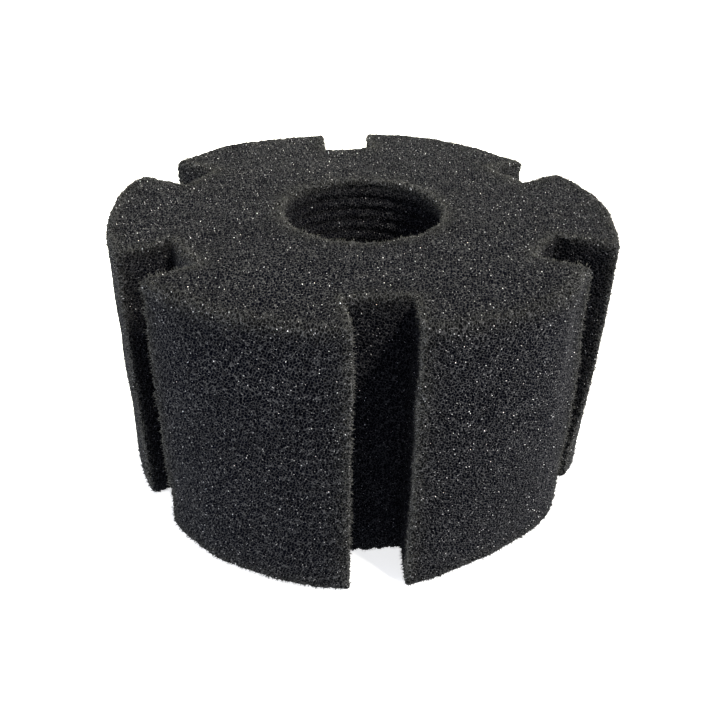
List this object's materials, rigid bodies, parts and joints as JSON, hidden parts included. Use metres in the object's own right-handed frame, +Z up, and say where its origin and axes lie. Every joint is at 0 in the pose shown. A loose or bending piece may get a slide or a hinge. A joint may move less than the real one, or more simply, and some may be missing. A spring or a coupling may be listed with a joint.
{
  "type": "filter foam ring",
  "caption": "Thick ring of black open-cell filter foam with a round through-bore and straight full-height slots spaced evenly round its rim.",
  "frame": {"origin": "middle of the bottom face, on the bore's axis", "axes": "+Z up along the bore's axis; one rim slot faces -Y and one faces +Y"},
  "size_m": [0.18, 0.1788, 0.1],
  "materials": {
    "black_foam": "matte"
  },
  "bodies": {
    "root": {"foam_body": "black_foam"}
  },
  "joints": []
}
